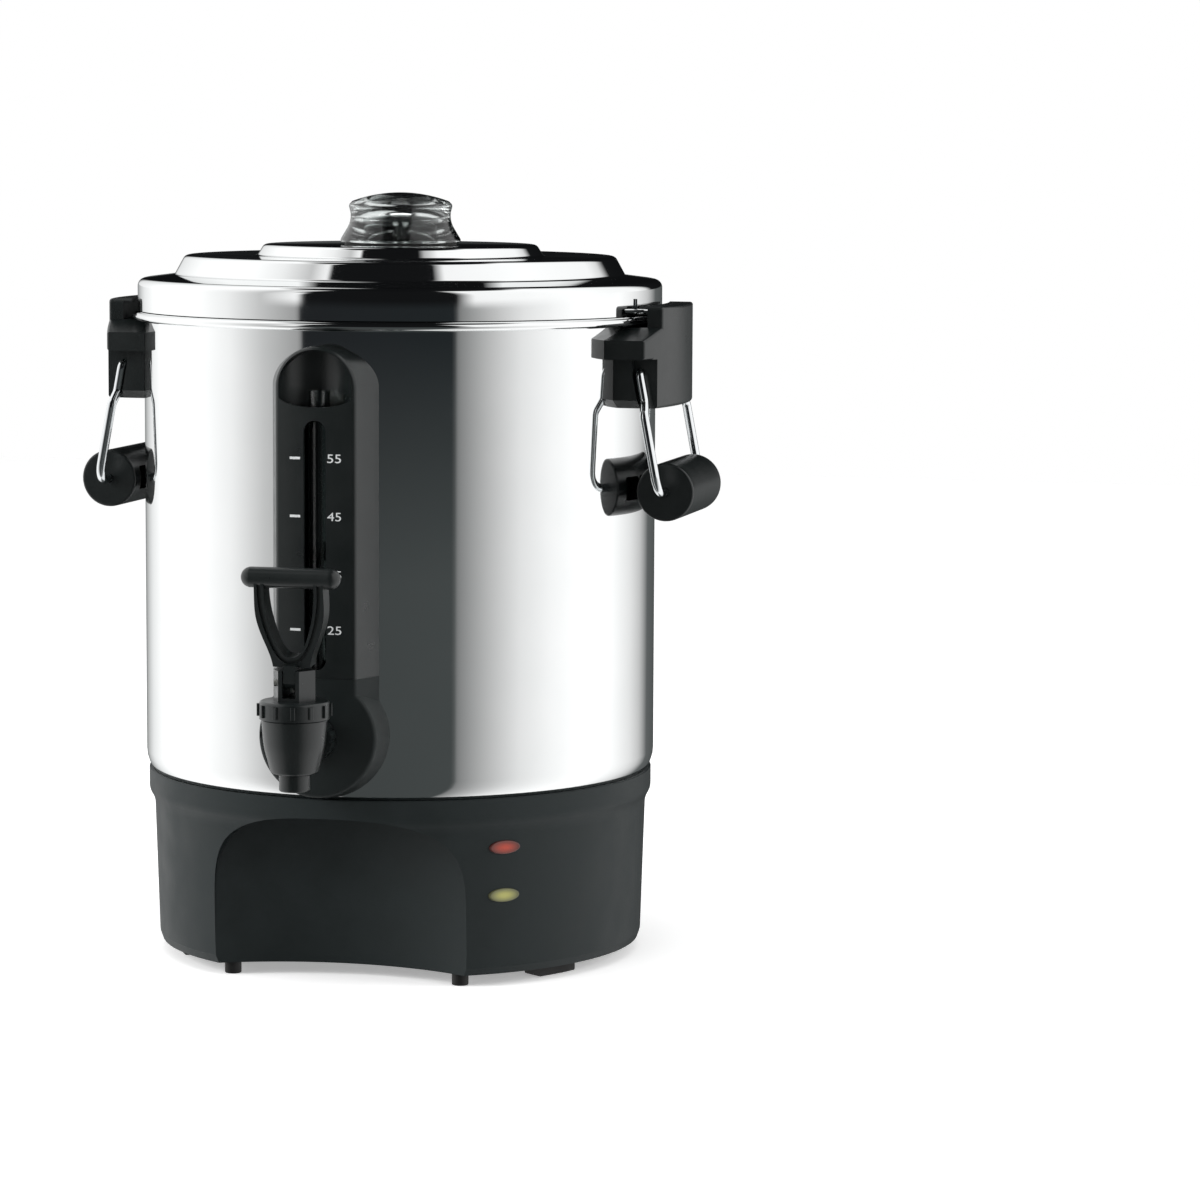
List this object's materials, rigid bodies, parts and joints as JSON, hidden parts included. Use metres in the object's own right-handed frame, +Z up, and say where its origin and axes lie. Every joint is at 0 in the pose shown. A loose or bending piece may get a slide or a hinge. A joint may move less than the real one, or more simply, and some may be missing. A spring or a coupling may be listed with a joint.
{
  "type": "coffee urn",
  "caption": "Percolating coffee urn: polished steel vessel on a black base, level gauge, lever tap, two bail handles, lift-off lid with a clear knob and a lift-out brewing set.",
  "frame": {"origin": "on the urn's axis, in the plane of its feet", "axes": "+Z up along the urn's axis; the tap faces -Y; the handles are at +X and -X"},
  "size_m": [0.3214, 0.3311, 0.3871],
  "materials": {
    "stainless": "mirror-polished stainless steel",
    "black_plastic": "satin moulded, heat-resistant",
    "black_base": "fine-textured moulded",
    "chrome_wire": "chromed steel wire",
    "zinc": "zinc-plated",
    "aluminium": "plain",
    "coated": "non-stick coating, satin",
    "clear": "clear",
    "rubber": "moulded",
    "silicone": "moulded silicone",
    "red_lens": "translucent",
    "yellow_lens": "translucent",
    "brass": "plain"
  },
  "bodies": {
    "urn": {"vessel": "stainless", "base_housing": "black_base", "base_plate": "black_base", "base_screws": "zinc", "pad_feet": "rubber", "peg_feet": "rubber", "heater_plate": "aluminium", "heating_element": "zinc", "heater_clamp": "zinc", "heater_bolt": "zinc", "heater_nut": "zinc", "boil_thermostat": "aluminium", "warm_thermostat": "aluminium", "thermal_fuse": "zinc", "power_inlet": "black_plastic", "inlet_pins": "brass", "inlet_screws": "zinc", "heating_lens": "red_lens", "warm_lens": "yellow_lens", "lamp_bodies": "clear", "gauge_cover": "black_plastic", "tap_boss": "black_plastic", "gauge_tube": "clear", "gauge_tee": "black_plastic", "tube_seal": "silicone", "washer_outer": "silicone", "washer_inner": "silicone", "shank_nut": "black_plastic", "shank_ring": "black_plastic", "tap_body": "black_plastic", "tap_spout": "black_plastic", "tap_bonnet": "black_plastic", "lever_pin": "zinc", "bracket_right": "black_plastic", "bracket_left": "black_plastic", "bracket_screws_right": "zinc", "bracket_screws_left": "zinc"},
    "lever": {"tap_lever": "black_plastic", "lift_pin": "zinc"},
    "valve": {"valve_stem": "zinc", "seat_cup": "silicone", "valve_spring": "zinc"},
    "handle_right": {"bail_right": "chrome_wire"},
    "handle_left": {"bail_left": "chrome_wire"},
    "grip_right": {"grip_right": "black_plastic"},
    "grip_left": {"grip_left": "black_plastic"},
    "brewing_set": {"basket": "coated", "basket_hub": "stainless", "pump_stem": "stainless", "stem_collar": "stainless", "pump_dish": "stainless"},
    "pump_disc": {"pump_valve": "stainless"},
    "lid": {"lid_shell": "stainless", "lid_skirt": "stainless", "lid_lugs": "zinc", "lid_knob": "clear", "knob_gasket": "rubber", "knob_ring": "black_plastic"}
  },
  "joints": [
    {"name": "lever_tilt", "type": "hinge", "parent": "urn", "child": "lever", "pos_m": [0, -0.1831, 0.1585], "axis": [1, 0, 0], "range_deg": [0, 40], "stiffness_Nm_per_rad": 0.05, "springref_deg": -17.19},
    {"name": "valve_lift", "type": "slide", "parent": "urn", "child": "valve", "axis": [0, 0, 1], "range_m": [0, 0.0036], "deforming": ["valve_spring"]},
    {"name": "handle_right_swing", "type": "hinge", "parent": "urn", "child": "handle_right", "pos_m": [0.135, 0, 0.3], "axis": [0, -1, 0], "range_deg": [0, 85]},
    {"name": "handle_left_swing", "type": "hinge", "parent": "urn", "child": "handle_left", "pos_m": [-0.135, 0, 0.3], "axis": [0, 1, 0], "range_deg": [0, 85]},
    {"name": "grip_right_turn", "type": "hinge", "parent": "handle_right", "child": "grip_right", "pos_m": [0.1462, 0, 0.2404], "axis": [0, 1, 0], "continuous": true},
    {"name": "grip_left_turn", "type": "hinge", "parent": "handle_left", "child": "grip_left", "pos_m": [-0.1462, 0, 0.2404], "axis": [0, 1, 0], "continuous": true},
    {"name": "brewing_set_lift", "type": "slide", "parent": "urn", "child": "brewing_set", "axis": [0, 0, 1], "range_m": [0, 0.3]},
    {"name": "pump_disc_lift", "type": "slide", "parent": "brewing_set", "child": "pump_disc", "axis": [0, 0, 1], "range_m": [0, 0.003]},
    {"name": "lid_lift", "type": "slide", "parent": "brewing_set", "child": "lid", "axis": [0, 0, 1], "range_m": [0, 0.1]}
  ],
  "couplings": [
    {"joint": "valve_lift", "follows": "lever_tilt", "m_per_rad": 0.005064}
  ]
}
